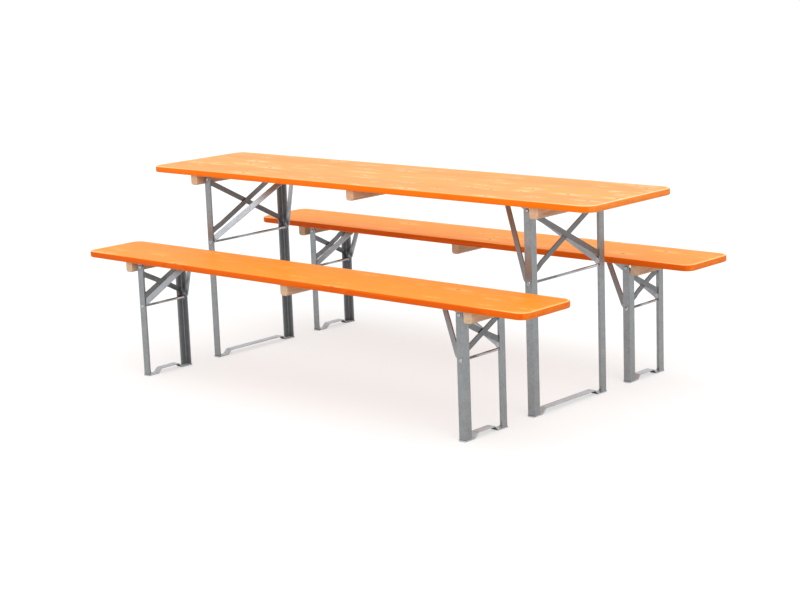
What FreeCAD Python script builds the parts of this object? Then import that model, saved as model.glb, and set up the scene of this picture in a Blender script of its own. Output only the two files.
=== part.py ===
import FreeCAD, Part
import math
import os
from types import SimpleNamespace

from FreeCAD import Vector

# A folding beer table with two folding benches beside it, standing open, in millimetres.
# X runs along the boards, Y across them and Z up. The origin is on the floor under the table's middle.

# Boards
board_length = 2200.0
board_thickness = 24.0
board_edge_round = 5.0
table_width = 500.0
table_height = 768.0
table_corner_radius = 45.0
bench_width = 270.0
bench_height = 474.0
bench_corner_radius = 40.0
bench_distance = 475.0        # table's centre line to a bench's centre line

# Battens under the boards, one in the middle and one outboard of each leg
batten_width = 36.0
batten_depth = 39.0
batten_edge_round = 9.0
batten_inset = 11.0           # end of a batten to the board's long edge
batten_gap = 15.0             # leg's web to the end batten

# Leg frames of rolled angle
leg_end_inset = 278.0         # outer face of the webs to the board's end
angle_size = 30.0
angle_wall = 3.0
angle_root_radius = 2.0
table_leg_inset = 38.0        # outer face of a flange to the board's long edge
bench_leg_inset = 25.5

# Hinges at the leg tops
hinge_drop = 17.0             # hinge axis below the board's underside
pin_radius = 5.0
pin_clearance = 0.05          # radial running clearance of every pivot
pin_head_radius = 8.0
pin_head_height = 3.5
pin_head_chamfer = 1.5
flange_ear_gap = 2.0          # round top of a folded flange to the board
bracket_gap = 0.5             # bracket's ear to the flange, and rivet head to the flange
bracket_thickness = 3.0
bracket_ear_radius = 10.0
bracket_foot_width = 24.0
bracket_foot_inboard = 30.0   # bracket's foot from the hinge axis, towards the middle
bracket_foot_outboard = 12.0  # and towards the board's end

# Round crossbars with riveted ends, on which the struts turn
rod_radius = 5.0
rod_head_radius = 8.0
rod_head_height = 3.0
rod_head_chamfer = 1.2
table_rod_drop = 254.0        # crossbar below the hinge axis
bench_rod_drop = 155.0

# Cross braces of flat bar, welded inside the webs
brace_width = 20.0
brace_thickness = 4.0
brace_end_inset = 14.0        # end of a bar to the outer face of the flange
brace_joggle_land = 34.0      # flat end of the set bar
brace_joggle_run = 24.0
brace_bend_radius = 4.0
table_brace_high = 11.0       # ends of the bars below the hinge axis
table_brace_low = 217.0
bench_brace_high = 28.0
bench_brace_low = 125.0

# Foot strips of flat steel, raised in the middle
foot_thickness = 4.0
foot_overhang = 6.0           # beyond the outer faces of the flanges
foot_corner_radius = 6.0
foot_land = 64.0
foot_rise = 24.0
foot_run = 34.0
foot_bend_radius = 8.0

# Struts of flat bar on edge, bent to a narrow nose that slides under the board
strut_width = 22.0
strut_thickness = 5.0
strut_gap = 0.8               # strut's eye to the flange
strut_eye_length = 24.0
strut_nose_half = 12.0
strut_bend_radius = 14.0
strut_nose_radius = 5.0
table_strut_reach = 250.0     # nose's centre from the hinge axis, along the board
bench_strut_reach = 147.0

# Guide rails and catch springs under the boards
rail_width = 36.0
rail_depth = 5.5
rail_wall = 1.5
rail_bend_radius = 1.0
rail_spare = 6.0              # rail past the nose at both ends of its travel
rail_batten_gap = 8.0         # least room from a rail to the middle batten
spring_width = 16.0
spring_thickness = 1.0
spring_tail = 40.0            # outboard of the nose's centre
spring_tip = 10.0             # inboard of the nose's centre
spring_slope = 9.0
spring_dip = 4.0
spring_bend_radius = 2.0

leg_station = board_length / 2 - leg_end_inset
hinge_x = leg_station - angle_size / 2
ear_radius = hinge_drop - flange_ear_gap
batten_x = leg_station + batten_gap + batten_width / 2
across = Vector(0, 1, 0)


# Sizes of one table or bench, worked out from the values above.
def furniture(name, width, height, corner, centre, leg_inset, rod_drop, high, low, reach, brace_turn):
    under = height - board_thickness
    hinge_z = under - hinge_drop
    strut = math.hypot(rod_drop, reach)
    return SimpleNamespace(
        name=name, width=width, height=height, corner=corner, centre=centre, under=under,
        hinge_z=hinge_z, rod_z=hinge_z - rod_drop, brace_high=hinge_z - high, brace_low=hinge_z - low,
        flange=width / 2 - leg_inset, strut=strut, lean=math.degrees(math.asin(rod_drop / strut)),
        nose_x=hinge_x - reach, folded_nose_x=hinge_x - rod_drop - strut, brace_turn=brace_turn)


# A flat face from corners (u, v, radius), with an arc at each corner that has a radius.
def rounded_face(corners, place):
    points = [Vector(u, v, 0) for u, v, radius in corners]
    turns = []
    for i, (u, v, radius) in enumerate(corners):
        here = points[i]
        arriving = (here - points[i - 1]).normalize()
        leaving = (points[(i + 1) % len(points)] - here).normalize()
        turn = arriving.getAngle(leaving)
        if radius == 0:
            turns.append((here, None, here))
            continue
        reach = radius * math.tan(turn / 2)
        inward = (leaving - arriving).normalize()
        middle = here + inward * (radius / math.cos(turn / 2) - radius)
        turns.append((here - arriving * reach, middle, here + leaving * reach))
    edges = []
    for i, (start, middle, finish) in enumerate(turns):
        before = turns[i - 1][2]
        if start.distanceToPoint(before) > 1e-6:
            edges.append(Part.makeLine(place(before.x, before.y), place(start.x, start.y)))
        if middle:
            points_on = [place(p.x, p.y) for p in (start, middle, finish)]
            edges.append(Part.Arc(*points_on).toShape())
    return Part.Face(Part.Wire(edges))


# Corners of a strip that follows a line of points, thickened to its left and bent round a radius.
def bent_strip(line, thickness, radius):
    points = [Vector(u, v, 0) for u, v in line]
    near, far = [], []
    for i, here in enumerate(points):
        leaving = (points[min(i + 1, len(points) - 1)] - points[min(i, len(points) - 2)]).normalize()
        arriving = (here - points[i - 1]).normalize() if i else leaving
        left_in = Vector(-arriving.y, arriving.x, 0)
        left_out = Vector(-leaving.y, leaving.x, 0)
        miter = (left_in + left_out) * (thickness / (1 + left_in.dot(left_out)))
        turn = arriving.cross(leaving).z
        at_end = i in (0, len(points) - 1)
        near_radius = 0 if at_end else radius + (thickness if turn > 0 else 0)
        far_radius = 0 if at_end else radius + (0 if turn > 0 else thickness)
        near.append((here.x, here.y, near_radius))
        far.append((here.x + miter.x, here.y + miter.y, far_radius))
    return near + far[::-1]


# A round bar along Y with a chamfered head on both ends, from a turned half profile (y, radius).
def headed_bar(start, finish, radius, head, height, chamfer):
    profile = [
        (start - height, 0), (start - height, head - chamfer), (start - height + chamfer, head),
        (start, head), (start, radius), (finish, radius), (finish, head),
        (finish + height - chamfer, head), (finish + height, head - chamfer), (finish + height, 0)]
    face = rounded_face([(y, r, 0) for y, r in profile], lambda y, r: Vector(r, y, 0))
    return face.revolve(Vector(), across, 360)


def rear_and_front(shape):
    return [shape, shape.mirror(Vector(), across)]


def right_and_left(shapes):
    return shapes + [shape.mirror(Vector(), Vector(1, 0, 0)) for shape in shapes]


def board(p):
    half_x = board_length / 2
    half_y = p.width / 2
    corners = [(x * half_x, y * half_y, p.corner) for x, y in ((1, 1), (-1, 1), (-1, -1), (1, -1))]
    slab = rounded_face(corners, lambda x, y: Vector(x, y, p.under)).extrude(Vector(0, 0, board_thickness))
    rims = [e for e in slab.Edges if e.BoundBox.ZLength < board_edge_round]
    return slab.makeFillet(board_edge_round, rims)


def batten(p, centre_x):
    half_x = batten_width / 2
    half_y = p.width / 2 - batten_inset
    low = p.under - batten_depth
    corners = [
        (centre_x - half_x, p.under, 0), (centre_x - half_x, low, batten_edge_round),
        (centre_x + half_x, low, batten_edge_round), (centre_x + half_x, p.under, 0)]
    face = rounded_face(corners, lambda x, z: Vector(x, -half_y, z))
    return face.extrude(across * (2 * half_y))


# The rear right hinge bracket: an ear inside the flange, and a foot under the board.
def hinge_bracket(p):
    outer = p.flange - angle_wall - bracket_gap
    inner = outer - bracket_thickness
    r = bracket_ear_radius
    corners = [
        (hinge_x - bracket_foot_inboard, p.under, 0), (hinge_x - r, p.hinge_z, 0),
        (hinge_x - r, p.hinge_z - r, r), (hinge_x + r, p.hinge_z - r, r), (hinge_x + r, p.hinge_z, 0),
        (hinge_x + bracket_foot_outboard, p.under, 0)]
    ear = rounded_face(corners, lambda x, z: Vector(x, inner, z)).extrude(across * bracket_thickness)
    foot = Part.makeBox(
        bracket_foot_inboard + bracket_foot_outboard, bracket_foot_width, bracket_thickness,
        Vector(hinge_x - bracket_foot_inboard, outer - bracket_foot_width, p.under - bracket_thickness))
    hole = Part.makeCylinder(pin_radius, bracket_thickness, Vector(hinge_x, inner, p.hinge_z), across)
    return ear.fuse(foot).cut(hole).removeSplitter()


# The rear right hinge pin, riveted through the bracket's ear and the flange.
def hinge_pin(p):
    start = p.flange - angle_wall - bracket_gap - bracket_thickness
    finish = p.flange + bracket_gap
    bar = headed_bar(start, finish, pin_radius, pin_head_radius, pin_head_height, pin_head_chamfer)
    return bar.translate(Vector(hinge_x, 0, p.hinge_z))


# The rear right upright: an angle with its heel outboard, and a round ear on its flange at the hinge.
def upright(p):
    out_x = leg_station
    in_y = p.flange - angle_size
    section = [
        (out_x - angle_size, p.flange, 0), (out_x - angle_size, p.flange - angle_wall, 0),
        (out_x - angle_wall, p.flange - angle_wall, angle_root_radius), (out_x - angle_wall, in_y, 0),
        (out_x, in_y, 0), (out_x, p.flange, 0)]
    length = p.hinge_z - foot_thickness
    bar = rounded_face(section, lambda x, y: Vector(x, y, foot_thickness)).extrude(Vector(0, 0, length))
    wall = p.flange - angle_wall
    ear = Part.makeCylinder(ear_radius, angle_wall, Vector(hinge_x, wall, p.hinge_z), across)
    pin_hole = Part.makeCylinder(
        pin_radius + pin_clearance, angle_wall, Vector(hinge_x, wall, p.hinge_z), across)
    rod_hole = Part.makeCylinder(rod_radius, angle_wall, Vector(hinge_x, wall, p.rod_z), across)
    return bar.fuse(ear).cut(pin_hole).cut(rod_hole).removeSplitter()


# The right leg's two brace bars; the second is set inboard to pass the first. The first rises to the
# rear where the brace's turn is 1, and to the front where it is -1.
def cross_brace(p):
    half_y = p.flange - brace_end_inset
    rise = p.brace_high - p.brace_low
    half = math.hypot(half_y, rise / 2)
    tilt = p.brace_turn * math.degrees(math.atan2(rise / 2, half_y))
    land = half - brace_joggle_land
    set_in = land - brace_joggle_run
    straight = [(-half, 0), (half, 0)]
    joggled = [
        (-half, 0), (-land, 0), (-set_in, brace_thickness), (set_in, brace_thickness), (land, 0), (half, 0)]
    middle = Vector(leg_station - angle_wall, 0, (p.brace_high + p.brace_low) / 2)
    bars = []
    for line, angle in ((straight, tilt), (joggled, -tilt)):
        corners = bent_strip(line, brace_thickness, brace_bend_radius)
        face = rounded_face(corners, lambda y, x: Vector(-x, y, -brace_width / 2))
        bar = face.extrude(Vector(0, 0, brace_width))
        bar.rotate(Vector(), Vector(1, 0, 0), angle)
        bars.append(bar.translate(middle))
    return bars


# The right leg's foot strip: flat under both uprights, raised between them.
def foot_strip(p):
    end = p.flange + foot_overhang
    land = end - foot_land
    top = land - foot_run
    line = [(-end, 0), (-land, 0), (-top, foot_rise), (top, foot_rise), (land, 0), (end, 0)]
    corners = bent_strip(line, foot_thickness, foot_bend_radius)
    face = rounded_face(corners, lambda y, z: Vector(leg_station - angle_size, y, z))
    strip = face.extrude(Vector(angle_size, 0, 0))
    corners = [e for e in strip.Edges if e.BoundBox.ZLength > foot_thickness / 2
               and e.BoundBox.XLength < 0.01 and abs(e.CenterOfMass.y) > end - 0.01]
    return strip.makeFillet(foot_corner_radius, corners)


def crossbar(p):
    bar = headed_bar(-p.flange, p.flange, rod_radius, rod_head_radius, rod_head_height, rod_head_chamfer)
    return bar.translate(Vector(hinge_x, 0, p.rod_z))


# The right leg's strut, bent flat and then leaned from the crossbar up to the board.
def strut(p):
    half = strut_width / 2
    outer = p.flange - angle_wall - strut_gap
    nose = p.strut + half
    arm = [(-half, -outer), (strut_eye_length, -outer), (nose, -strut_nose_half)]
    line = arm + [(s, -y) for s, y in reversed(arm)]
    corners = bent_strip(line, strut_thickness, strut_bend_radius)
    corners = [(s, y, min(r, strut_nose_radius + r - strut_bend_radius) if s > p.strut - half else r)
               for s, y, r in corners]
    face = rounded_face(corners, lambda s, y: Vector(-s, y, -half))
    bar = face.extrude(Vector(0, 0, strut_width))
    ends = [(half, -half, half), (half, half, half), (-nose, half, half), (-nose, -half, half)]
    side = rounded_face(ends, lambda x, z: Vector(x, -outer, z)).extrude(across * (2 * outer))
    hole = Part.makeCylinder(rod_radius + pin_clearance, 2 * outer, Vector(0, -outer, 0), across)
    bar = bar.common(side).cut(hole)
    bar.rotate(Vector(), across, p.lean)
    return bar.translate(Vector(hinge_x, 0, p.rod_z))


# The right guide rail: a shallow channel, open downwards, as long as the nose's travel. On a short board
# it stops before the middle batten.
def guide_rail(p):
    half = rail_width / 2
    spare = strut_width / 2 + rail_spare
    inner = max(p.folded_nose_x - spare, batten_width / 2 + rail_batten_gap)
    line = [(-half, p.under - rail_depth), (-half, p.under), (half, p.under), (half, p.under - rail_depth)]
    corners = bent_strip(line[::-1], rail_wall, rail_bend_radius)
    face = rounded_face(corners, lambda y, z: Vector(inner, y, z))
    return face.extrude(Vector(p.nose_x + spare - inner, 0, 0))


# The right catch spring: a leaf inside the rail, with its tip bent down in front of the strut's nose.
def catch_spring(p):
    top = p.under - rail_wall
    tip = p.nose_x - spring_tip
    line = [(p.nose_x + spring_tail, top), (tip + spring_slope, top), (tip, top - spring_dip)]
    corners = bent_strip(line, spring_thickness, spring_bend_radius)
    face = rounded_face(corners, lambda x, z: Vector(x, -spring_width / 2, z))
    return face.extrude(across * spring_width)


# Every node of one table or bench, as lists of solids about its own centre line.
def nodes_of(p):
    nodes = {"top": [board(p)]}
    for place, x in (("left", -batten_x), ("middle", 0), ("right", batten_x)):
        nodes["batten_" + place] = [batten(p, x)]
    nodes["hinge_brackets"] = right_and_left(rear_and_front(hinge_bracket(p)))
    nodes["hinge_pins"] = right_and_left(rear_and_front(hinge_pin(p)))
    nodes["guide_rails"] = right_and_left([guide_rail(p)])
    nodes["catch_springs"] = right_and_left([catch_spring(p)])
    rear, front = rear_and_front(upright(p))
    leg = {
        "upright_rear": [rear], "upright_front": [front], "cross_brace": cross_brace(p),
        "foot_strip": [foot_strip(p)], "crossbar": [crossbar(p)], "strut": [strut(p)]}
    for name, shapes in leg.items():
        both = right_and_left(shapes)
        nodes["right_" + name] = both[:len(shapes)]
        nodes["left_" + name] = both[len(shapes):]
    return nodes


table = furniture(
    "table", table_width, table_height, table_corner_radius, 0.0, table_leg_inset,
    table_rod_drop, table_brace_high, table_brace_low, table_strut_reach, -1)
benches = [
    furniture(
        name, bench_width, bench_height, bench_corner_radius, side * bench_distance, bench_leg_inset,
        bench_rod_drop, bench_brace_high, bench_brace_low, bench_strut_reach, -side)
    for name, side in (("bench_front", -1), ("bench_rear", 1))]

os.makedirs("parts", exist_ok=True)
for p in [table] + benches:
    for node, solids in nodes_of(p).items():
        placed = [solid.translated(Vector(0, p.centre, 0)) for solid in solids]
        shape = placed[0] if len(placed) == 1 else Part.makeCompound(placed)
        shape.exportStep("parts/" + p.name + "_" + node + ".step")
    print(p.name, "strut", round(p.strut, 2), "leans", round(p.lean, 3), "hinge", p.hinge_z, "rod", p.rod_z,
          "nose", round(p.nose_x, 2), "folded", round(p.folded_nose_x, 2))
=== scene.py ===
import math

import bmesh
import bpy
from mathutils import Matrix, Vector


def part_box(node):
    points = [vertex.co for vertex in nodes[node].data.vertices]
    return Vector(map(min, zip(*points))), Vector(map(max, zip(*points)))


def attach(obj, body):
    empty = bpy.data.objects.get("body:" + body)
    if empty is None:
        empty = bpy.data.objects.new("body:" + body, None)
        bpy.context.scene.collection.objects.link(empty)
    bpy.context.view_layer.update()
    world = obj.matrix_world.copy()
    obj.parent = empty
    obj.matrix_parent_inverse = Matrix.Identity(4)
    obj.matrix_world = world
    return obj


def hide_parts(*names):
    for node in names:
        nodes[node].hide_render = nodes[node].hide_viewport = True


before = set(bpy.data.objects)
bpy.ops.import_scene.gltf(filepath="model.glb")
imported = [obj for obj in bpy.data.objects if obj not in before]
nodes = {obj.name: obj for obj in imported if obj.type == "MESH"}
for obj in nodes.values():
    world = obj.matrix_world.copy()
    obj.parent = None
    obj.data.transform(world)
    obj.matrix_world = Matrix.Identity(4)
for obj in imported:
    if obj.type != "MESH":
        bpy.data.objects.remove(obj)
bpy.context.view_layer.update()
pieceNames = ("table", "bench_front", "bench_rear")
battenPlaces = ("left", "middle", "right")
sides = {"left": -1, "right": 1}
down = (0, 0, -1)
mm = 0.001
tiny = 1e-6  # metres, points closer than this count as one
print("frame loaded:", len(nodes), "nodes")


def linear(hexColour):
    parts = [int(hexColour[i:i + 2], 16) / 255 for i in (1, 3, 5)]
    return tuple(c / 12.92 if c <= 0.04045 else ((c + 0.055) / 1.055) ** 2.4 for c in parts) + (1.0,)


def addNode(tree, kind, inputs=None, **settings):
    node = tree.nodes.new(kind)
    for name, value in settings.items():
        setattr(node, name, value)
    for socket, value in (inputs or {}).items():
        if isinstance(value, bpy.types.NodeSocket):
            tree.links.new(value, node.inputs[socket])
        else:
            node.inputs[socket].default_value = value
    return node


def newMaterial(name):
    material = bpy.data.materials.new(name)
    material.use_nodes = True
    tree = material.node_tree
    tree.nodes.clear()
    shader = addNode(tree, "ShaderNodeBsdfPrincipled")
    addNode(tree, "ShaderNodeOutputMaterial", {"Surface": shader.outputs[0]})
    return material, tree, shader


# A mesh from a geometry tree brings its own material, and is given None here
def newPiece(name, mesh, material, body, slot, *stoodFor):
    piece = bpy.data.objects.new(name, mesh)
    bpy.context.scene.collection.objects.link(piece)
    if material:
        mesh.materials.clear()
        mesh.materials.append(material)
    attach(piece, body)
    if stoodFor:
        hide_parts(*stoodFor)


def quarterAngles(steps):
    return [math.pi / 2 * i / steps for i in range(steps + 1)]


# Smooth walls from ring to ring, with a flat face on the first and the last
def bridgeRings(shell, rings):
    for below, above in zip(rings, rings[1:]):
        for i in range(len(below)):
            j = (i + 1) % len(below)
            shell.faces.new((below[i], below[j], above[j], above[i])).smooth = True
    shell.faces.new(list(reversed(rings[0])))
    shell.faces.new(rings[-1])


def meshFrom(shell, name):
    mesh = bpy.data.meshes.new(name)
    shell.to_mesh(mesh)
    shell.free()
    return mesh


# Camera: where the photograph was taken from, worked out from the edges of the boards
cameraView = {
    "place": (4.6237, -5.0601, 1.7123),  # metres
    "azimuth": 42.329,                   # degrees, as the next two
    "elevation": 11.741,
    "roll": -2.132,
    "focalPixels": 1829.1,
    "imageWidth": 800,
    "sensorWidth": 36.0,                 # mm
    "clipEnd": 500.0,                    # metres
}


def makeCamera(view):
    camera = bpy.data.objects.new("camera", bpy.data.cameras.new("camera"))
    bpy.context.scene.collection.objects.link(camera)
    azimuth, elevation, roll = (math.radians(view[k]) for k in ("azimuth", "elevation", "roll"))
    back = Vector((math.sin(azimuth) * math.cos(elevation), -math.cos(azimuth) * math.cos(elevation),
                   math.sin(elevation)))
    right = (-back).cross(Vector((0, 0, 1))).normalized()
    up = right.cross(-back)
    rolledRight = right * math.cos(roll) + up * math.sin(roll)
    rolledUp = up * math.cos(roll) - right * math.sin(roll)
    turn = Matrix((rolledRight, rolledUp, back)).transposed()
    camera.matrix_world = Matrix.Translation(view["place"]) @ turn.to_4x4()
    camera.data.sensor_fit = "HORIZONTAL"
    camera.data.sensor_width = view["sensorWidth"]
    camera.data.lens = view["focalPixels"] / view["imageWidth"] * view["sensorWidth"]
    camera.data.clip_end = view["clipEnd"]
    bpy.context.scene.camera = camera


# Stage: an even white floor under a soft dome of light that is brightest overhead, two broad lamps in front
# and a low one behind, which shows on the upper sides of the steel
stage = {
    "floorHalf": 150.0,           # metres
    "floorColour": "#FAFAF9",
    "floorGlow": 0.55,            # share of the floor that shines by itself, to keep the shadows faint
    "bounceColour": "#BEBEBC",    # the light that the floor throws back on the object is kept lower
    "skyColour": "#FFFFFF",
    "horizonStrength": 0.28,
    "zenithStrength": 1.5,
    "hazeStrength": 1.0,          # a pale haze along the horizon, as white as the floor
    "hazeHeights": (0.05, 0.14),  # sine of the elevation where it begins to thin and where it ends
    "lamps": (  # name, direction the light comes from, strength, angle in degrees
        ("frontLight", (0.8, -0.56, 0.72), 0.95, 45),
        ("frontWindow", (0.12, -0.92, 0.36), 0.42, 35),
        ("backWindow", (-0.45, 0.85, 0.3), 0.25, 50),
    ),
}


def makeSky(settings):
    world = bpy.data.worlds.new("studio")
    world.use_nodes = True
    bpy.context.scene.world = world
    tree = world.node_tree
    tree.nodes.clear()
    direction = addNode(tree, "ShaderNodeTexCoord").outputs["Generated"]
    height = addNode(tree, "ShaderNodeSeparateXYZ", {0: direction}).outputs["Z"]
    dome = addNode(tree, "ShaderNodeMapRange", {
        "Value": height, "To Min": settings["horizonStrength"], "To Max": settings["zenithStrength"]})
    hazeLow, hazeHigh = settings["hazeHeights"]
    haze = addNode(tree, "ShaderNodeMapRange", {
        "Value": height, "From Min": hazeLow, "From Max": hazeHigh,
        "To Min": settings["hazeStrength"], "To Max": 0.0}, interpolation_type="SMOOTHSTEP")
    brighter = addNode(tree, "ShaderNodeMath", {0: dome.outputs[0], 1: haze.outputs[0]}, operation="MAXIMUM")
    sky = addNode(tree, "ShaderNodeBackground", {
        "Color": linear(settings["skyColour"]), "Strength": brighter.outputs[0]})
    addNode(tree, "ShaderNodeOutputWorld", {"Surface": sky.outputs[0]})


def makeLamps(settings):
    for name, source, strength, angle in settings["lamps"]:
        lamp = bpy.data.objects.new(name, bpy.data.lights.new(name, "SUN"))
        bpy.context.scene.collection.objects.link(lamp)
        lamp.data.energy = strength
        lamp.data.angle = math.radians(angle)
        lamp.rotation_euler = Vector(source).to_track_quat("Z", "Y").to_euler()


# 1 for rays that show the floor, straight or in a reflection, 0 for rays that carry its light
def seenRays(tree):
    path = addNode(tree, "ShaderNodeLightPath").outputs
    mirrored = addNode(tree, "ShaderNodeMath", {0: path["Is Glossy Ray"], 1: path["Is Transmission Ray"]},
                       operation="MAXIMUM")
    return addNode(tree, "ShaderNodeMath", {0: path["Is Camera Ray"], 1: mirrored.outputs[0]},
                   operation="MAXIMUM").outputs[0]


# Matt white paint: an even ground without gloss that keeps a faint shadow
def matteFloor(settings):
    material, tree, shader = newMaterial("matteFloor")
    seenAs = seenRays(tree)
    glow = settings["floorGlow"]
    paint = Vector(linear(settings["floorColour"])) * (1 - glow)
    shown = addNode(tree, "ShaderNodeMix", {
        0: seenAs, 6: linear(settings["bounceColour"]), 7: paint}, data_type="RGBA")
    tree.links.new(shown.outputs[2], shader.inputs["Base Color"])
    shine = addNode(tree, "ShaderNodeMath", {0: seenAs, 1: glow}, operation="MULTIPLY")
    shader.inputs["Emission Color"].default_value = linear(settings["skyColour"])
    tree.links.new(shine.outputs[0], shader.inputs["Emission Strength"])
    shader.inputs["Roughness"].default_value = 1.0
    shader.inputs["Specular IOR Level"].default_value = 0.0
    return material


def makeFloor(settings):
    half = settings["floorHalf"]
    corners = [(-half, -half, 0), (half, -half, 0), (half, half, 0), (-half, half, 0)]
    floorMesh = bpy.data.meshes.new("floor")
    floorMesh.from_pydata(corners, [], [(0, 1, 2, 3)])
    floorMesh.materials.append(matteFloor(settings))
    floor = bpy.data.objects.new("floor", floorMesh)
    bpy.context.scene.collection.objects.link(floor)


bpy.context.scene.view_settings.view_transform = "Standard"
makeCamera(cameraView)
makeSky(stage)
makeLamps(stage)
makeFloor(stage)
print("camera, lights and floor made")


# Spruce boards under an orange stain and clear lacquer: pale glossy faces that keep the grain and
# knots in view, sharper orange along the sides, and paler, streaked end grain
boardWood = {
    "lamella": 92.0,                # mm, width of one glued strip
    "stripShift": (9.0, 0.4, 0.3),  # metres, the most that a strip's pattern is moved
    "stripTones": (0.93, 1.06),     # darkest and lightest strip
    "firstSeed": 3,
    "seedStep": 11,                 # from one board to the next
    "ring": 13.0,                   # mm, from ring to ring, drawn coarser than life so that it shows
    "ringStretch": 0.035,           # a stretch is the pattern's width over its length
    "sway": 71.43,                  # mm, width of the slow waves in the rings
    "swayDepth": 55.0,              # mm
    "bowDepth": 11.0,               # mm, how far the rings bow round a knot
    "fibre": 1.6,                   # mm, width of the fine fibres, half the noise's unit
    "fibreStretch": 0.02,
    "fibreShare": 0.45,             # of the grain, with the rest in the rings
    "knotAlong": 210.0,             # mm, spacing of knots along and across a strip
    "knotAcross": 66.0,
    "knotScatter": 0.7,             # 0 sets the knots in rows, 1 anywhere
    "knotRadius": 6.5,              # mm
    "knotSizes": (0.6, 1.3),        # smallest and largest knot
    "knotCore": (1.6, 0.55, 1.0),   # length over width, and the knot radii where it begins and ends to fade
    "knotHalo": (4.5, 0.8, 3.0),
    "haloShare": 0.5,
    "patch": 42.0,                  # mm, width of the pale patches in the figure
    "patchStretch": 0.25,
    "patchBand": (0.56, 0.72),      # a band is where a mask begins and where it is full
    "endFibre": 4.0,                # mm
    "endStretch": 0.2,
    "endBand": (0.5, 0.95),         # of the normal's part along the board
    "sideBand": (0.5, 0.95),        # of the rim
    "wornSheenRise": (0.0, 0.3),         # of the rim, where the band of rubbed stain and painted highlight comes in and goes out
    "wornSheenFall": (0.6, 0.9),
    "wornSheenBand": (850.0, 1080.0),  # mm from the board's middle, where the band's share along the board turns into its share at the ends
    "roughness": (0.36, 0.52),      # glossiest and dullest
    "specular": 0.1,
    "bump": 0.12,
    "relief": 0.2,                  # mm
}
# The pale edge colour in each stain is partly stain rubbed thin, partly a painted highlight of the lacquer's
# sheen on the rounded upper edges
tableStain = {
    "early": "#F7A857", "late": "#EE8F37", "knot": "#A4551A", "halo": "#FFD79E", "wornAndSheen": "#FFD6A0",
    "side": "#FB7F08", "sideLate": "#EC6A04", "endLight": "#FF9C46", "endDark": "#EC6E16",
    "knotShare": 0.36, "patchShare": 0.45, "wornSheenAlong": 0.45, "wornSheenEnds": 1.0,
}
benchStain = {
    "early": "#FC9C2D", "late": "#F28618", "knot": "#C2681A", "halo": "#FFBE66", "wornAndSheen": "#FFCE84",
    "side": "#F06A04", "sideLate": "#DD5402", "endLight": "#F7892F", "endDark": "#DE5C0C",
    "knotShare": 0.22, "patchShare": 0.32, "wornSheenAlong": 0.1, "wornSheenEnds": 0.9,
}


# Coordinates that each glued strip moves by an amount of its own, and a random value for the strip
def stripCoords(tree, look, coords, seed):
    across = addNode(tree, "ShaderNodeSeparateXYZ", {0: coords}).outputs["Y"]
    strip = addNode(tree, "ShaderNodeMath", {0: across, 1: 1 / (look["lamella"] * mm)}, operation="MULTIPLY")
    stripIndex = addNode(tree, "ShaderNodeMath", {0: strip.outputs[0]}, operation="FLOOR")
    stripSeed = addNode(tree, "ShaderNodeMath", {0: stripIndex.outputs[0], 1: seed}, operation="ADD")
    random = addNode(tree, "ShaderNodeTexWhiteNoise", {"W": stripSeed.outputs[0]}, noise_dimensions="1D")
    shift = addNode(tree, "ShaderNodeVectorMath", {0: random.outputs["Color"], 1: look["stripShift"]},
                    operation="MULTIPLY")
    placed = addNode(tree, "ShaderNodeVectorMath", {0: coords, 1: shift.outputs[0]}, operation="ADD")
    return placed.outputs[0], random.outputs["Value"]


# Knots: one in a share of the cells, each of its own size, with a dark core and a long pale halo
def knotMasks(tree, look, placed):
    along, across, radius = (look[k] * mm for k in ("knotAlong", "knotAcross", "knotRadius"))
    smallest, largest = look["knotSizes"]
    cellCoords = addNode(tree, "ShaderNodeVectorMath", {0: placed, 1: (1 / along, 1 / across, 0.0)},
                         operation="MULTIPLY").outputs[0]
    cells = addNode(tree, "ShaderNodeTexVoronoi", {
        "Vector": cellCoords, "Scale": 1.0, "Randomness": look["knotScatter"]}, voronoi_dimensions="2D")
    cellRandom = addNode(tree, "ShaderNodeSeparateColor", {0: cells.outputs["Color"]})
    hasKnot = addNode(tree, "ShaderNodeMath", {0: cellRandom.outputs[0], 1: look["knotShare"]},
                      operation="LESS_THAN")
    knotSize = addNode(tree, "ShaderNodeMapRange", {
        "Value": cellRandom.outputs[1], "To Min": smallest, "To Max": largest})
    fromKnot = addNode(tree, "ShaderNodeVectorMath", {0: cellCoords, 1: cells.outputs["Position"]},
                       operation="SUBTRACT")
    masks = []
    for longer, inner, outer in (look["knotCore"], look["knotHalo"]):
        flat = addNode(tree, "ShaderNodeVectorMath", {
            0: fromKnot.outputs[0], 1: (along / longer, across, 0.0)}, operation="MULTIPLY")
        away = addNode(tree, "ShaderNodeVectorMath", {0: flat.outputs[0]}, operation="LENGTH")
        sized = addNode(tree, "ShaderNodeMath", {0: away.outputs["Value"], 1: knotSize.outputs[0]},
                        operation="DIVIDE")
        fade = addNode(tree, "ShaderNodeMapRange", {
            "Value": sized.outputs[0], "From Min": inner * radius, "From Max": outer * radius,
            "To Min": 1.0, "To Max": 0.0}, interpolation_type="SMOOTHSTEP")
        mask = addNode(tree, "ShaderNodeMath", {0: fade.outputs[0], 1: hasKnot.outputs[0]},
                       operation="MULTIPLY")
        masks.append(mask.outputs[0])
    return masks


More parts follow.
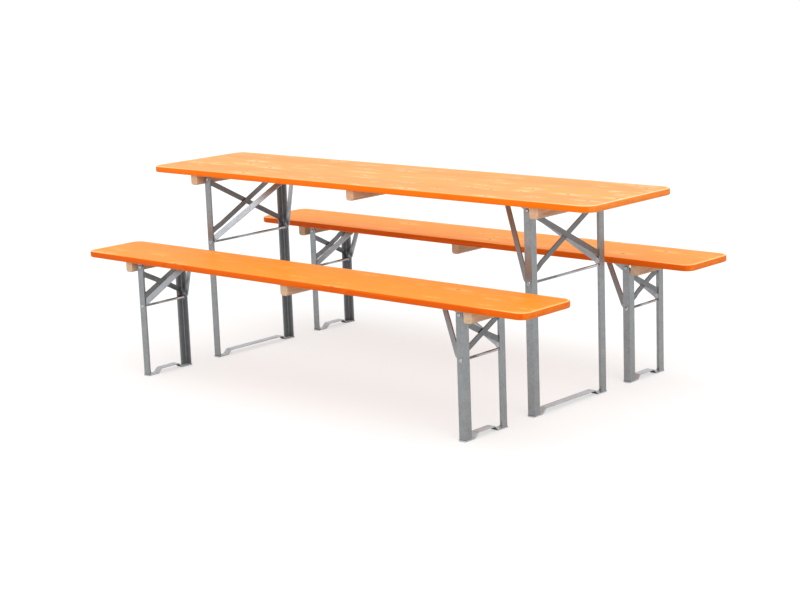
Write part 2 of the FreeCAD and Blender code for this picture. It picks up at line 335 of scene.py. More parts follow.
# Growth rings that run along the board and bow round the knots, mixed with fine fibres
def boardGrain(tree, look, placed, halo):
    slow = addNode(tree, "ShaderNodeVectorMath", {0: placed, 1: (look["ringStretch"], 1.0, 1.0)},
                   operation="MULTIPLY").outputs[0]
    sway = addNode(tree, "ShaderNodeTexNoise", {
        "Vector": slow, "Scale": 1 / (look["sway"] * mm), "Detail": 2.0, "Roughness": 0.5})
    swayShift = addNode(tree, "ShaderNodeMath", {0: sway.outputs[0], 1: look["swayDepth"] * mm},
                        operation="MULTIPLY")
    bow = addNode(tree, "ShaderNodeMath", {0: halo, 1: look["bowDepth"] * mm, 2: swayShift.outputs[0]},
                  operation="MULTIPLY_ADD")
    bowVector = addNode(tree, "ShaderNodeCombineXYZ", {"Y": bow.outputs[0]})
    ringCoords = addNode(tree, "ShaderNodeVectorMath", {0: slow, 1: bowVector.outputs[0]}, operation="ADD")
    waveSpacing = math.pi / 10  # of the wave texture at a scale of 1
    rings = addNode(tree, "ShaderNodeTexWave", {
        "Vector": ringCoords.outputs[0], "Scale": waveSpacing / (look["ring"] * mm), "Distortion": 1.2,
        "Detail": 2.0, "Detail Scale": 2.0}, wave_type="BANDS", bands_direction="Y", wave_profile="SAW")
    fibreCoords = addNode(tree, "ShaderNodeVectorMath", {0: placed, 1: (look["fibreStretch"], 1.0, 1.0)},
                          operation="MULTIPLY")
    fibres = addNode(tree, "ShaderNodeTexNoise", {
        "Vector": fibreCoords.outputs[0], "Scale": 1 / (look["fibre"] * 2 * mm), "Detail": 3.0}).outputs[0]
    grain = addNode(tree, "ShaderNodeMix", {0: look["fibreShare"], 2: rings.outputs["Fac"], 3: fibres})
    return grain.outputs[0], fibres


# The faces: stained grain with pale patches and knots, a little lighter or darker from strip to strip
def faceColour(tree, look, placed, stripRandom, grain, core, halo):
    patchCoords = addNode(tree, "ShaderNodeVectorMath", {0: placed, 1: (look["patchStretch"], 1.0, 1.0)},
                          operation="MULTIPLY")
    figure = addNode(tree, "ShaderNodeTexNoise", {
        "Vector": patchCoords.outputs[0], "Scale": 1 / (look["patch"] * mm), "Detail": 3.0,
        "Distortion": 0.6})
    begins, full = look["patchBand"]
    patches = addNode(tree, "ShaderNodeMapRange", {
        "Value": figure.outputs[0], "From Min": begins, "From Max": full, "To Max": look["patchShare"]},
        interpolation_type="SMOOTHSTEP")
    paleHalo = addNode(tree, "ShaderNodeMath", {0: halo, 1: look["haloShare"]}, operation="MULTIPLY")
    paleness = addNode(tree, "ShaderNodeMath", {0: paleHalo.outputs[0], 1: patches.outputs[0]},
                       operation="MAXIMUM")
    face = addNode(tree, "ShaderNodeMix", {
        0: grain, 6: linear(look["early"]), 7: linear(look["late"])}, data_type="RGBA")
    pale = addNode(tree, "ShaderNodeMix", {
        0: paleness.outputs[0], 6: face.outputs[2], 7: linear(look["halo"])}, data_type="RGBA")
    knotted = addNode(tree, "ShaderNodeMix", {
        0: core, 6: pale.outputs[2], 7: linear(look["knot"])}, data_type="RGBA")
    darkest, lightest = look["stripTones"]
    stripTone = addNode(tree, "ShaderNodeMapRange", {
        "Value": stripRandom, "To Min": darkest, "To Max": lightest})
    return addNode(tree, "ShaderNodeVectorMath", {0: knotted.outputs[2], "Scale": stripTone.outputs[0]},
                   operation="SCALE").outputs[0]


# The edges: side grain, and end grain where the edge faces along the board
def edgeColour(tree, look, placed, normal, grain):
    side = addNode(tree, "ShaderNodeMix", {
        0: grain, 6: linear(look["side"]), 7: linear(look["sideLate"])}, data_type="RGBA")
    endCoords = addNode(tree, "ShaderNodeVectorMath", {0: placed, 1: (1.0, look["endStretch"], 1.0)},
                        operation="MULTIPLY")
    streaks = addNode(tree, "ShaderNodeTexNoise", {
        "Vector": endCoords.outputs[0], "Scale": 1 / (look["endFibre"] * 2 * mm), "Detail": 2.0})
    endGrain = addNode(tree, "ShaderNodeMix", {
        0: streaks.outputs[0], 6: linear(look["endLight"]), 7: linear(look["endDark"])}, data_type="RGBA")
    normalX = addNode(tree, "ShaderNodeSeparateXYZ", {0: normal}).outputs["X"]
    endwise = addNode(tree, "ShaderNodeMath", {0: normalX}, operation="ABSOLUTE")
    begins, full = look["endBand"]
    endAmount = addNode(tree, "ShaderNodeMapRange", {
        "Value": endwise.outputs[0], "From Min": begins, "From Max": full}, interpolation_type="SMOOTHSTEP")
    return addNode(tree, "ShaderNodeMix", {
        0: endAmount.outputs[0], 6: side.outputs[2], 7: endGrain.outputs[2]}, data_type="RGBA").outputs[2]


# A pale band along the rounded upper edges, strongest near the board's ends: partly stain rubbed thin, partly
# a painted highlight of the lacquer's sheen
def wornSheenAmount(tree, look, coords, rim):
    riseBegins, riseFull = look["wornSheenRise"]
    rise = addNode(tree, "ShaderNodeMapRange", {
        "Value": rim, "From Min": riseBegins, "From Max": riseFull}, interpolation_type="SMOOTHSTEP")
    fallBegins, fallFull = look["wornSheenFall"]
    fall = addNode(tree, "ShaderNodeMapRange", {
        "Value": rim, "From Min": fallBegins, "From Max": fallFull, "To Min": 1.0, "To Max": 0.0},
        interpolation_type="SMOOTHSTEP")
    wornAndSheen = addNode(tree, "ShaderNodeMath", {0: rise.outputs[0], 1: fall.outputs[0]}, operation="MULTIPLY")
    along = addNode(tree, "ShaderNodeSeparateXYZ", {0: coords}).outputs["X"]
    fromMiddle = addNode(tree, "ShaderNodeMath", {0: along}, operation="ABSOLUTE")
    begins, full = look["wornSheenBand"]
    share = addNode(tree, "ShaderNodeMapRange", {
        "Value": fromMiddle.outputs[0], "From Min": begins * mm, "From Max": full * mm,
        "To Min": look["wornSheenAlong"], "To Max": look["wornSheenEnds"]})
    return addNode(tree, "ShaderNodeMath", {0: wornAndSheen.outputs[0], 1: share.outputs[0]},
                   operation="MULTIPLY").outputs[0]


def stainedSpruce(name, look, seed):
    material, tree, shader = newMaterial(name)
    surface = addNode(tree, "ShaderNodeTexCoord").outputs
    rim = addNode(tree, "ShaderNodeAttribute", attribute_name="rim").outputs["Fac"]
    placed, stripRandom = stripCoords(tree, look, surface["Object"], seed)
    core, halo = knotMasks(tree, look, placed)
    grain, fibres = boardGrain(tree, look, placed, halo)
    face = faceColour(tree, look, placed, stripRandom, grain, core, halo)
    edge = edgeColour(tree, look, placed, surface["Normal"], grain)
    begins, full = look["sideBand"]
    sideAmount = addNode(tree, "ShaderNodeMapRange", {
        "Value": rim, "From Min": begins, "From Max": full}, interpolation_type="SMOOTHSTEP")
    body = addNode(tree, "ShaderNodeMix", {0: sideAmount.outputs[0], 6: face, 7: edge}, data_type="RGBA")
    # Mixes in the pale edge colour: painted highlight along the rounded upper edges, together with stain
    # rubbed thin
    finished = addNode(tree, "ShaderNodeMix", {
        0: wornSheenAmount(tree, look, surface["Object"], rim), 6: body.outputs[2], 7: linear(look["wornAndSheen"])},
        data_type="RGBA")
    tree.links.new(finished.outputs[2], shader.inputs["Base Color"])
    glossiest, dullest = look["roughness"]
    gloss = addNode(tree, "ShaderNodeMapRange", {"Value": fibres, "To Min": glossiest, "To Max": dullest})
    tree.links.new(gloss.outputs[0], shader.inputs["Roughness"])
    shader.inputs["Specular IOR Level"].default_value = look["specular"]
    relief = addNode(tree, "ShaderNodeBump", {
        "Height": grain, "Strength": look["bump"], "Distance": look["relief"] * mm})
    tree.links.new(relief.outputs[0], shader.inputs["Normal"])
    return material


# Planed unstained battens: pale wood with a pink cast, its fibres running across the table
battenWood = {
    "light": "#DFC1A2",
    "dark": "#C29C7D",
    "fibre": 3.0,               # mm, drawn coarser than life so that it shows
    "fibreStretch": 0.06,
    "streakBand": (0.3, 0.7),
    "roughness": 0.62,
    "bump": 0.25,
    "relief": 0.3,              # mm
}


def planedWood(look):
    material, tree, shader = newMaterial("planedSpruce")
    coords = addNode(tree, "ShaderNodeTexCoord").outputs["Object"]
    stretched = addNode(tree, "ShaderNodeVectorMath", {0: coords, 1: (1.0, look["fibreStretch"], 1.0)},
                        operation="MULTIPLY")
    fibres = addNode(tree, "ShaderNodeTexNoise", {
        "Vector": stretched.outputs[0], "Scale": 1 / (look["fibre"] * 2 * mm), "Detail": 4.0,
        "Distortion": 0.4})
    begins, full = look["streakBand"]
    streaks = addNode(tree, "ShaderNodeMapRange", {
        "Value": fibres.outputs[0], "From Min": begins, "From Max": full})
    colour = addNode(tree, "ShaderNodeMix", {
        0: streaks.outputs[0], 6: linear(look["light"]), 7: linear(look["dark"])}, data_type="RGBA")
    tree.links.new(colour.outputs[2], shader.inputs["Base Color"])
    shader.inputs["Roughness"].default_value = look["roughness"]
    relief = addNode(tree, "ShaderNodeBump", {
        "Height": fibres.outputs[0], "Strength": look["bump"], "Distance": look["relief"] * mm})
    tree.links.new(relief.outputs[0], shader.inputs["Normal"])
    return material


# Rolled steel under a dull zinc coat: soft grey gloss, clouded by the zinc's crystals and rolling marks
zincSteel = {
    "light": "#9B9EA0",
    "dark": "#818486",
    "metallic": 0.9,
    "roughness": (0.23, 0.41),
    "crystal": 7.0,             # mm
    "cloud": 45.45,             # mm, width of the clouds
    "cloudShare": 0.65,         # of the tone, with the rest in the crystals
    "bump": 0.1,
    "relief": 0.3,              # mm
}
# Struts, a lighter copy of the zinc steel: painted light for their faces that tilt up to the sky
litStrutSteel = zincSteel | {
    "light": "#B3B6B9", "dark": "#989BA0", "metallic": 0.95, "roughness": (0.24, 0.42), "bump": 0.08,
}
# Braces, darker and duller than the uprights: partly darker steel, partly painted shade from the boards above
# them
darkShadedBraceSteel = zincSteel | {"light": "#7F8182", "dark": "#686A6B", "roughness": (0.28, 0.46)}
# Foot strips, dipped in zinc: pale and matt, their tops partly a painted reflection of the sky, with an
# underside painted nearly black as shade
footSteel = zincSteel | {
    "light": "#CBD2D6", "dark": "#AEB6BB", "metallic": 0.55, "roughness": (0.42, 0.6), "crystal": 6.0,
    "bump": 0.12, "undersideShade": "#141312", "undersideShadeBand": (-0.2, -0.5),
}
# Rivets, screws and crossbars, a lighter copy of the zinc steel: painted highlight on their domed heads and
# round bars
rivetSteel = zincSteel | {
    "light": "#BFC1C4", "dark": "#A0A2A5", "metallic": 1.0, "roughness": (0.16, 0.34), "crystal": 4.0,
    "bump": 0.04,
}
# Welds, rough and burnt
weldSteel = zincSteel | {
    "light": "#8C8D8E", "dark": "#6C6B69", "metallic": 0.6, "roughness": (0.42, 0.6), "crystal": 3.0,
    "bump": 0.2,
}
# Catch springs, hardened, with a blue cast
springSteel = zincSteel | {
    "light": "#6C7078", "dark": "#4A4E57", "metallic": 1.0, "roughness": (0.27, 0.45), "crystal": 5.0,
    "bump": 0.05,
}


def coatedSteel(name, look):
    material, tree, shader = newMaterial(name)
    surface = addNode(tree, "ShaderNodeTexCoord").outputs
    crystals = addNode(tree, "ShaderNodeTexVoronoi", {
        "Vector": surface["Object"], "Scale": 1 / (look["crystal"] * mm), "Randomness": 1.0})
    crystalTone = addNode(tree, "ShaderNodeSeparateColor", {0: crystals.outputs["Color"]})
    clouds = addNode(tree, "ShaderNodeTexNoise", {
        "Vector": surface["Object"], "Scale": 1 / (look["cloud"] * mm), "Detail": 4.0})
    tone = addNode(tree, "ShaderNodeMix", {
        0: look["cloudShare"], 2: crystalTone.outputs[0], 3: clouds.outputs[0]})
    colour = addNode(tree, "ShaderNodeMix", {
        0: tone.outputs[0], 6: linear(look["light"]), 7: linear(look["dark"])}, data_type="RGBA")
    # Faces turned downwards are painted nearly black: painted shade under the foot strips
    if "undersideShade" in look:
        facing = addNode(tree, "ShaderNodeSeparateXYZ", {0: surface["Normal"]}).outputs["Z"]
        begins, full = look["undersideShadeBand"]
        below = addNode(tree, "ShaderNodeMapRange", {
            "Value": facing, "From Min": begins, "From Max": full}, interpolation_type="SMOOTHSTEP")
        colour = addNode(tree, "ShaderNodeMix", {
            0: below.outputs[0], 6: colour.outputs[2], 7: linear(look["undersideShade"])}, data_type="RGBA")
    tree.links.new(colour.outputs[2], shader.inputs["Base Color"])
    shader.inputs["Metallic"].default_value = look["metallic"]
    glossiest, dullest = look["roughness"]
    gloss = addNode(tree, "ShaderNodeMapRange", {
        "Value": tone.outputs[0], "To Min": glossiest, "To Max": dullest})
    tree.links.new(gloss.outputs[0], shader.inputs["Roughness"])
    relief = addNode(tree, "ShaderNodeBump", {
        "Height": clouds.outputs[0], "Strength": look["bump"], "Distance": look["relief"] * mm})
    tree.links.new(relief.outputs[0], shader.inputs["Normal"])
    return material


boardMaterials = {}
for i, pieceName in enumerate(pieceNames):
    stain = tableStain if pieceName == "table" else benchStain
    boardSeed = boardWood["firstSeed"] + boardWood["seedStep"] * i
    boardMaterials[pieceName] = stainedSpruce("stainedSpruce_" + pieceName, boardWood | stain, boardSeed)
battenMaterial = planedWood(battenWood)
zincMaterial = coatedSteel("zincPlatedSteel", zincSteel)
litStrutMaterial = coatedSteel("brightZincSteel", litStrutSteel)
darkShadedBraceMaterial = coatedSteel("darkZincSteel", darkShadedBraceSteel)
footMaterial = coatedSteel("dippedZincSteel", footSteel)
rivetMaterial = coatedSteel("brightRivetSteel", rivetSteel)
weldMaterial = coatedSteel("weldSteel", weldSteel)
springMaterial = coatedSteel("bluedSpringSteel", springSteel)
# a solid's finish goes by the last word of its name
steelFinishes = {
    "strut": litStrutMaterial, "brace": darkShadedBraceMaterial, "strip": footMaterial, "springs": springMaterial}
for nodeName, node in nodes.items():
    node.data.materials.clear()
    node.data.materials.append(steelFinishes.get(nodeName.split("_")[-1], zincMaterial))
print("materials made:", len(bpy.data.materials))


# Boards with round corners in plan and rounded edges. The attribute rim is 0 on the faces, rises over the
# band of rubbed stain and painted highlight to faceRim where the rounding begins, and is 1 on the sides
boardShape = {
    "corner": {"table": 45.0, "bench_front": 40.0, "bench_rear": 40.0},  # mm
    "edge": 5.0,
    "wornSheenWidth": 7.0,              # mm, how far the band of rubbed stain and painted highlight reaches onto the faces
    "faceRim": 0.25,
    "cornerSteps": 10,
    "edgeSteps": 5,
}


# Half the section of a board's edge, from the side to the face, as inset, drop from the face, and rim
def edgeSection(shape):
    edge, faceRim = shape["edge"] * mm, shape["faceRim"]
    section = [(edge * (1 - math.cos(a)), edge * (1 - math.sin(a)), faceRim + (1 - faceRim) * math.cos(a))
               for a in quarterAngles(shape["edgeSteps"])]
    return section + [(edge + shape["wornSheenWidth"] * mm, 0, 0)]


def makeBoard(name, shape):
    low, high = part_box(name + "_top")
    corner = shape["corner"][name] * mm
    half = edgeSection(shape)
    section = [(inset, low.z + drop, rim) for inset, drop, rim in reversed(half)]
    section += [(inset, high.z - drop, rim) for inset, drop, rim in half]
    shell = bmesh.new()
    rings, rims = [], []
    for inset, height, rim in section:
        ring = []
        for i, (x, y) in enumerate(((1, 1), (-1, 1), (-1, -1), (1, -1))):
            centreX = (high.x if x > 0 else low.x) - x * corner
            centreY = (high.y if y > 0 else low.y) - y * corner
            for angle in quarterAngles(shape["cornerSteps"]):
                turn = math.pi / 2 * i + angle
                ring.append(shell.verts.new((centreX + (corner - inset) * math.cos(turn),
                                             centreY + (corner - inset) * math.sin(turn), height)))
        rings.append(ring)
        rims += [rim] * len(ring)
    bridgeRings(shell, rings)
    board = meshFrom(shell, name + "_board")
    board.attributes.new("rim", "FLOAT", "POINT").data.foreach_set("value", rims)
    slot = "table_board" if name == "table" else "bench_board"
    newPiece(name + "_board", board, boardMaterials[name], name, slot, name + "_top")


for pieceName in pieceNames:
    makeBoard(pieceName, boardShape)
print("boards made")


# Battens: planed bars, well rounded below, with broken edges
battenShape = {
    "lowRound": 9.0, "roundSteps": 5,   # mm
    "broken": 1.5, "brokenSteps": 2,    # mm
    "sharpAngle": 1.0,                  # radians, edges sharper than this are broken
    "flatArea": 1e-3,                   # square metres, faces from this size on are shaded flat
}


def makeBatten(name, place, shape):
    low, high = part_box(name + "_batten_" + place)
    shell = bmesh.new()
    bmesh.ops.create_cube(shell, size=1)
    for v in shell.verts:
        v.co = Vector((high[i] if v.co[i] > 0 else low[i]) for i in range(3))
    lowEdges = [e for e in shell.edges
                if all(abs(v.co.z - low.z) < tiny for v in e.verts)
                and abs(e.verts[0].co.y - e.verts[1].co.y) > tiny]
    bmesh.ops.bevel(shell, geom=lowEdges, offset=shape["lowRound"] * mm, segments=shape["roundSteps"],
                    profile=0.5, affect="EDGES")
    sharpEdges = [e for e in shell.edges if e.calc_face_angle(0) > shape["sharpAngle"]]
    bmesh.ops.bevel(shell, geom=sharpEdges, offset=shape["broken"] * mm, segments=shape["brokenSteps"],
                    profile=0.5, affect="EDGES")
    bmesh.ops.recalc_face_normals(shell, faces=shell.faces)
    for f in shell.faces:
        f.smooth = f.calc_area() < shape["flatArea"]
    batten = meshFrom(shell, name + "_" + place + "_batten")
    newPiece(batten.name, batten, battenMaterial, name, "batten_wood", name + "_batten_" + place)


for pieceName in pieceNames:
    for place in battenPlaces:
        makeBatten(pieceName, place, battenShape)
print("battens made")


# Turned pieces: a half profile of (radius, height) pairs spun round Z
def spinProfile(name, profile, steps):
    shell = bmesh.new()
    points = [shell.verts.new((r, 0, z)) for r, z in profile]
    edges = [shell.edges.new(pair) for pair in zip(points, points[1:])]
    bmesh.ops.spin(shell, geom=points + edges, cent=(0, 0, 0), axis=(0, 0, 1), angle=2 * math.pi, steps=steps)
    bmesh.ops.remove_doubles(shell, verts=shell.verts, dist=tiny)
    bmesh.ops.recalc_face_normals(shell, faces=shell.faces)
    for f in shell.faces:
        f.smooth = True
    return meshFrom(shell, name)


# A shank with a domed head on each end
def barProfile(length, radius, headRadius, headHeight, steps):
    dome = [(headRadius * math.cos(a), length / 2 + headHeight * math.sin(a))
            for a in quarterAngles(steps)[:-1]]
    upper = [(radius, length / 2)] + dome + [(0.0, length / 2 + headHeight)]
    return [(r, -z) for r, z in reversed(upper)] + upper


def newTree(name, inputs):
    tree = bpy.data.node_groups.new(name, "GeometryNodeTree")
    tree.interface.new_socket("Geometry", in_out="INPUT", socket_type="NodeSocketGeometry")
    for label, kind in inputs:
        tree.interface.new_socket(label, in_out="INPUT", socket_type="NodeSocket" + kind)
    tree.interface.new_socket("Geometry", in_out="OUTPUT", socket_type="NodeSocketGeometry")
    return tree, addNode(tree, "NodeGroupInput").outputs


# One tree sets copies of a head on points, each turned to face along the point's own direction
def headTree():
    tree, start = newTree("headsOnPoints", (("Head", "Object"), ("Spin Seed", "Int"), ("Finish", "Material")))
    head = addNode(tree, "GeometryNodeObjectInfo", {"Object": start["Head"]})
    facing = addNode(tree, "GeometryNodeInputNamedAttribute", {"Name": "facing"}, data_type="FLOAT_VECTOR")
    aligned = addNode(tree, "FunctionNodeAlignRotationToVector", {"Vector": facing.outputs[0]}, axis="Z")
    spin = addNode(tree, "FunctionNodeRandomValue", {"Seed": start["Spin Seed"]}, data_type="FLOAT")
    turn = addNode(tree, "ShaderNodeMath", {0: spin.outputs[1], 1: 2 * math.pi}, operation="MULTIPLY")
    about = addNode(tree, "ShaderNodeCombineXYZ", {"Z": turn.outputs[0]})
    spun = addNode(tree, "FunctionNodeRotateRotation", {
        "Rotation": aligned.outputs[0], "Rotate By": about.outputs[0]}, rotation_space="LOCAL")
    copies = addNode(tree, "GeometryNodeInstanceOnPoints", {
        "Points": start["Geometry"], "Instance": head.outputs["Geometry"], "Rotation": spun.outputs[0]})
    real = addNode(tree, "GeometryNodeRealizeInstances", {0: copies.outputs[0]})
    finish = addNode(tree, "GeometryNodeSetMaterial", {
        "Geometry": real.outputs[0], "Material": start["Finish"]})
    addNode(tree, "NodeGroupOutput", {0: finish.outputs[0]})
    return tree


def runTree(name, mesh, tree, values):
    carrier = bpy.data.objects.new(name + "_carrier", mesh)
    bpy.context.scene.collection.objects.link(carrier)
    modifier = carrier.modifiers.new("tree", "NODES")
    modifier.node_group = tree
    for socket in tree.interface.items_tree:
        if socket.in_out == "INPUT" and socket.name in values:
            modifier[socket.identifier] = values[socket.name]
    bpy.context.view_layer.update()
    evaluated = carrier.evaluated_get(bpy.context.evaluated_depsgraph_get())
    made = bpy.data.meshes.new_from_object(evaluated)
    made.name = name
    carrier.modifiers.remove(modifier)
    bpy.data.objects.remove(carrier)
    return made


def pointMesh(name, places):
    mesh = bpy.data.meshes.new(name + "_points")
    mesh.from_pydata([place for place, facing in places], [], [])
    facings = [c for place, facing in places for c in facing]
    mesh.attributes.new("facing", "FLOAT_VECTOR", "POINT").data.foreach_set("vector", facings)
    return mesh


# Heads at the given places, as one mesh
def setHeads(name, headMesh, places, seed):
    head = bpy.data.objects.new(headMesh.name, headMesh)
    bpy.context.scene.collection.objects.link(head)
    made = runTree(name, pointMesh(name, places), headsOnPoints, {
        "Head": head, "Spin Seed": seed, "Finish": rivetMaterial})
    bpy.data.objects.remove(head)
    return made


headsOnPoints = headTree()


# Cross-head screws, seen from below as round heads with a cross recess
screwHead = {
    "radius": 4.2, "height": 1.4,                        # mm
    "flare": 1.08,                                       # foot of the head over its top
    "recess": 2.6, "slotHalf": 0.55, "floor": 0.5,       # mm
    "slotTaper": 0.8,                                    # floor of the slot over its mouth
    "steps": 20, "spinSeed": 5,
    "battenCount": {"table": 3, "bench_front": 2, "bench_rear": 2},
    "battenInset": 45.0,                                 # mm, from a batten's end
    "bracketAlong": (8.0, 34.0),                         # mm, from the outboard end of a bracket's foot
    "bracketAcross": 14.0,                               # mm, from the outer side of its ear
    "bracketPlate": 3.0,                                 # mm, thickness
    "railShares": (0.06, 0.45, 0.8),                     # along a rail, from its inner end
    "railPlate": 1.5,                                    # mm, thickness
}


def screwHeadMesh(look):
    radius, height, recess, half, floor = (
        look[k] * mm for k in ("radius", "height", "recess", "slotHalf", "floor"))
    shell = bmesh.new()

    def loop(points):
        verts = [shell.verts.new(p) for p in points]
        return [shell.edges.new((verts[i - 1], verts[i])) for i in range(len(verts))]

    turns = [2 * math.pi * i / look["steps"] for i in range(look["steps"])]
    rim = loop([(radius * math.cos(a), radius * math.sin(a), height) for a in turns])
    quarter = [(recess, -half), (recess, half), (half, half)]
    cross = []
    for i in range(4):
        c, s = math.cos(math.pi / 2 * i), math.sin(math.pi / 2 * i)
        cross += [(c * x - s * y, s * x + c * y, height) for x, y in quarter]
    slot = loop(cross)
    bmesh.ops.triangle_fill(shell, edges=rim + slot, use_beauty=True)
    for edges, depth, spread in ((rim, height, look["flare"]), (slot, height - floor, look["slotTaper"])):
        pulled = bmesh.ops.extrude_edge_only(shell, edges=edges)["geom"]
        for v in (g for g in pulled if isinstance(g, bmesh.types.BMVert)):
            v.co = Vector((v.co.x * spread, v.co.y * spread, v.co.z - depth))
        bmesh.ops.edgeloop_fill(shell, edges=[g for g in pulled if isinstance(g, bmesh.types.BMEdge)])
    bmesh.ops.recalc_face_normals(shell, faces=shell.faces)
    return meshFrom(shell, "screwHead")


def makeScrews(name, look):
    places = []
    inset, across, bracketPlate, railPlate = (
        look[k] * mm for k in ("battenInset", "bracketAcross", "bracketPlate", "railPlate"))
    count = look["battenCount"][name]
    for place in battenPlaces:
        low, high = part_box(name + "_batten_" + place)
        for i in range(count):
            y = low.y + inset + (high.y - low.y - 2 * inset) * i / (count - 1)
            places.append((((low.x + high.x) / 2, y, low.z), down))
    low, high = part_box(name + "_hinge_brackets")
    for sign in sides.values():
        for y in (low.y + across, high.y - across):
            for along in look["bracketAlong"]:
                places.append(((sign * (high.x - along * mm), y, high.z - bracketPlate), down))
    low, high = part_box(name + "_guide_rails")
    inner = min(abs(v.co.x) for v in nodes[name + "_guide_rails"].data.vertices)
    for sign in sides.values():
        for share in look["railShares"]:
            x = sign * (inner + share * (high.x - inner))
            places.append(((x, (low.y + high.y) / 2, high.z - railPlate), down))
    made = setHeads(name + "_screws", screwHeadMesh(look), places, look["spinSeed"])
    newPiece(made.name, made, None, name, "rivet_steel")


for pieceName in pieceNames:
    makeScrews(pieceName, screwHead)
print("screws made")


# Hinge rivets and crossbars with domed ends
rivetShape = {
    "pinRadius": 5.0, "headRadius": 8.0, "headHeight": 3.5, "earThickness": 3.0,  # mm
    "rodRadius": 5.0, "rodHeadRadius": 8.0, "rodHeadHeight": 3.0,                 # mm
    "steps": 24, "domeSteps": 4, "spinSeed": 1,
}


def makeHingeRivets(name, shape):
    pin, headRadius, headHeight, ear = (
        shape[k] * mm for k in ("pinRadius", "headRadius", "headHeight", "earThickness"))
    low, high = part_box(name + "_hinge_pins")
    middle = (low + high) / 2
    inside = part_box(name + "_hinge_brackets")[1].y - ear
    outside = high.y - headHeight
    profile = barProfile(outside - inside, pin, headRadius, headHeight, shape["domeSteps"])
    reach = (inside + outside) / 2 - middle.y
    hinge = high.x - headRadius
    places = [((sign * hinge, middle.y + across * reach, middle.z), (0, across, 0))
              for sign in sides.values() for across in (-1, 1)]
    made = setHeads(name + "_hinge_rivets", spinProfile(name + "_rivet", profile, shape["steps"]), places,
                    shape["spinSeed"])
    newPiece(made.name, made, None, name, "rivet_steel", name + "_hinge_pins")


def makeCrossbar(leg, shape):
    node = leg + "_crossbar"
    rod, headRadius, headHeight = (shape[k] * mm for k in ("rodRadius", "rodHeadRadius", "rodHeadHeight"))
    low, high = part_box(node)
    profile = barProfile(high.y - low.y - 2 * headHeight, rod, headRadius, headHeight, shape["domeSteps"])
    bar = spinProfile(node + "_bar", profile, shape["steps"])
    bar.transform(Matrix.Translation((low + high) / 2) @ Matrix.Rotation(math.pi / 2, 4, "X"))
    newPiece(bar.name, bar, rivetMaterial, leg + "_leg", "rivet_steel", node)


for pieceName in pieceNames:
    makeHingeRivets(pieceName, rivetShape)
    for sideName in sides:
        makeCrossbar(pieceName + "_" + sideName, rivetShape)
print("rivets and crossbars made")


# Foot strips of flat bar: flat under the uprights, with a low rise between them
footShape = {
    "thickness": 4.0, "land": 53.0, "run": 19.0, "rise": 17.0,  # mm
    "bend": 8.0, "bendSteps": 6,                                # mm, inside the bends
    "corner": 6.0, "cornerSteps": 6,                            # mm, in plan
    "broken": 0.5,                                              # mm
    "sharpAngle": 35.0,                                         # degrees
}


# Points along a line of corners whose inner corners are rounded, each with its direction
def roundedLine(corners, radius, steps):
    stations = [(corners[0], (corners[1] - corners[0]).normalized())]
    for before, here, after in zip(corners, corners[1:], corners[2:]):
        arriving, leaving = (here - before).normalized(), (after - here).normalized()
        turn = math.atan2(arriving.cross(leaving), arriving.dot(leaving))
        start = here - arriving * radius * math.tan(abs(turn) / 2)
        toCentre = arriving.orthogonal() * math.copysign(radius, turn)
        for i in range(steps + 1):
            spin = Matrix.Rotation(turn * i / steps, 2)
            stations.append((start + toCentre - spin @ toCentre, spin @ arriving))
    stations.append((corners[-1], (corners[-1] - corners[-2]).normalized()))
    return stations


def makeFootStrip(leg, shape):
    node = leg + "_foot_strip"
    low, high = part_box(node)
    thickness, land, run, rise, bend, corner, broken = (
        shape[k] * mm for k in ("thickness", "land", "run", "rise", "bend", "corner", "broken"))
    half = thickness / 2
    base = low.z + half
    risen = base + rise
    halfLine = ((0, base), (land, base), (land + run, risen))
    corners = [Vector((low.y + t, z)) for t, z in halfLine]
    corners += [Vector((high.y - t, z)) for t, z in reversed(halfLine)]
    line = roundedLine(corners, bend + half, shape["bendSteps"])
    # both ends get stations that follow the rounded corners
    rounds = [(corner * (1 - math.cos(a)), corner * (1 - math.sin(a)))
              for a in quarterAngles(shape["cornerSteps"])]
    along = Vector((1, 0))
    stations = [(corners[0] + along * t, along, inset) for t, inset in rounds]
    stations += [(point, direction, 0) for point, direction in line[1:-1]]
    stations += [(corners[-1] - along * t, along, inset) for t, inset in reversed(rounds)]
    shell = bmesh.new()
    rings = []
    for point, direction, inset in stations:
        normal = direction.orthogonal()
        left, right = low.x + inset, high.x - inset
        outline = ((left + broken, -half), (right - broken, -half), (right, broken - half),
                   (right, half - broken), (right - broken, half), (left + broken, half),
                   (left, half - broken), (left, broken - half))
        spots = [(x, point + normal * lift) for x, lift in outline]
        rings.append([shell.verts.new((x, spot.x, spot.y)) for x, spot in spots])
    bridgeRings(shell, rings)
    bmesh.ops.recalc_face_normals(shell, faces=shell.faces)
    for f in shell.faces:
        f.smooth = True
    strip = meshFrom(shell, node + "_bar")
    strip.set_sharp_from_angle(angle=math.radians(shape["sharpAngle"]))
    newPiece(strip.name, strip, footMaterial, leg + "_leg", "zinc_steel", node)


for pieceName in pieceNames:
    for sideName in sides:
        makeFootStrip(pieceName + "_" + sideName, footShape)
print("foot strips made")


# Weld beads where the braces meet the webs, and where the uprights stand on the foot strips
weldShape = {
    "radius": 1.9, "ripple": 2.6,                         # mm
    "dropSizes": (0.85, 1.12), "dropSegments": 8, "dropRings": 5,
    "seed": 4,
    "wall": 3.0, "footTop": 4.0, "braceWidth": 20.0,      # mm
    "tiltRounds": 6,
}


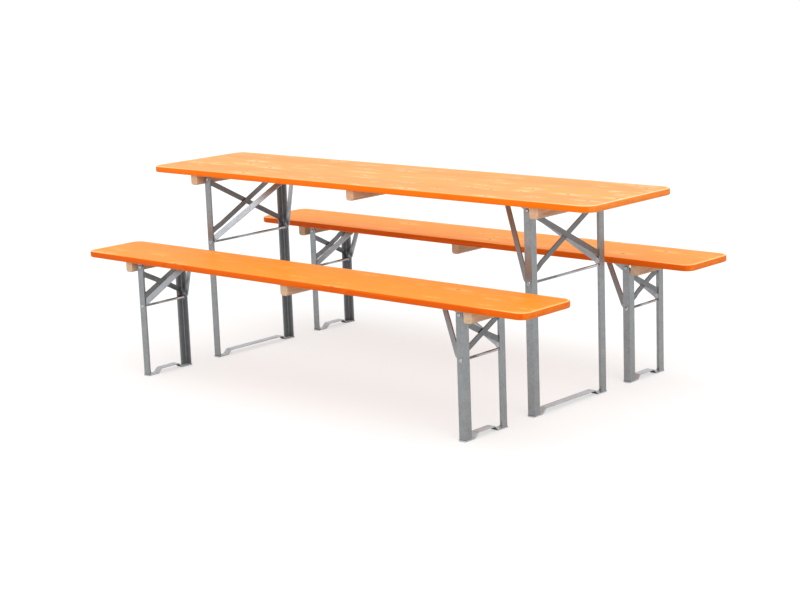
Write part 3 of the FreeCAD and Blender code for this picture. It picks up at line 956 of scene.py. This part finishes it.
# One tree lays a rippled bead of weld along the edges of a wire mesh
def beadTree(shape):
    tree, start = newTree("weldBead", (
        ("Radius", "Float"), ("Ripple", "Float"), ("Least Size", "Float"), ("Most Size", "Float"),
        ("Seed", "Int"), ("Finish", "Material")))
    path = addNode(tree, "GeometryNodeMeshToCurve", {"Mesh": start["Geometry"]})
    steps = addNode(tree, "GeometryNodeResampleCurve", {
        "Curve": path.outputs[0], "Length": start["Ripple"]}, mode="LENGTH")
    drop = addNode(tree, "GeometryNodeMeshUVSphere", {
        "Segments": shape["dropSegments"], "Rings": shape["dropRings"], "Radius": start["Radius"]})
    size = addNode(tree, "FunctionNodeRandomValue", {
        2: start["Least Size"], 3: start["Most Size"], "Seed": start["Seed"]}, data_type="FLOAT")
    drops = addNode(tree, "GeometryNodeInstanceOnPoints", {
        "Points": steps.outputs[0], "Instance": drop.outputs[0], "Scale": size.outputs[1]})
    real = addNode(tree, "GeometryNodeRealizeInstances", {0: drops.outputs[0]})
    smooth = addNode(tree, "GeometryNodeSetShadeSmooth", {"Geometry": real.outputs[0]})
    finish = addNode(tree, "GeometryNodeSetMaterial", {
        "Geometry": smooth.outputs[0], "Material": start["Finish"]})
    addNode(tree, "NodeGroupOutput", {0: finish.outputs[0]})
    return tree


weldBead = beadTree(weldShape)


# The box round a brace holds the bars' width as well, so their tilt is found in rounds
def braceTilt(reach, halfBar, rounds):
    tilt = math.atan2(reach.z, reach.y)
    for i in range(rounds):
        tilt = math.atan2(reach.z - halfBar * math.cos(tilt), reach.y - halfBar * math.sin(tilt))
    return tilt


def makeWelds(leg, sign, shape):
    wall, foot, halfBar = shape["wall"] * mm, shape["footTop"] * mm, shape["braceWidth"] / 2 * mm
    points, edges = [], []

    def line(*corners):
        first = len(points)
        points.extend(corners)
        edges.extend((first + i, first + i + 1) for i in range(len(corners) - 1))

    braceLow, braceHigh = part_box(leg + "_cross_brace")
    braceMiddle = (braceLow + braceHigh) / 2
    tilt = braceTilt(braceHigh - braceMiddle, halfBar, shape["tiltRounds"])
    half = halfBar / math.cos(tilt)
    for post, across in (("front", -1), ("rear", 1)):
        low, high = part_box(leg + "_upright_" + post)
        inX, outX = (low.x, high.x) if sign > 0 else (high.x, low.x)
        outY, freeY = (low.y, high.y) if across < 0 else (high.y, low.y)
        webX = outX - sign * wall
        flangeY = outY - across * wall
        line((inX, flangeY, foot), (webX, flangeY, foot), (webX, freeY, foot))
        line((inX, outY, foot), (outX, outY, foot))
        rise = abs(freeY - braceMiddle.y) * math.tan(tilt)
        for z in (braceMiddle.z + rise, braceMiddle.z - rise):
            line((webX, freeY, z - half), (webX, freeY, z + half))
    wires = bpy.data.meshes.new(leg + "_wires")
    wires.from_pydata(points, edges, [])
    least, most = shape["dropSizes"]
    made = runTree(leg + "_welds", wires, weldBead, {
        "Radius": shape["radius"] * mm, "Ripple": shape["ripple"] * mm, "Least Size": least,
        "Most Size": most, "Seed": shape["seed"], "Finish": weldMaterial})
    newPiece(made.name, made, None, leg + "_leg", "zinc_steel")


for pieceName in pieceNames:
    for sideName, sideSign in sides.items():
        makeWelds(pieceName + "_" + sideName, sideSign, weldShape)
print("welds made")
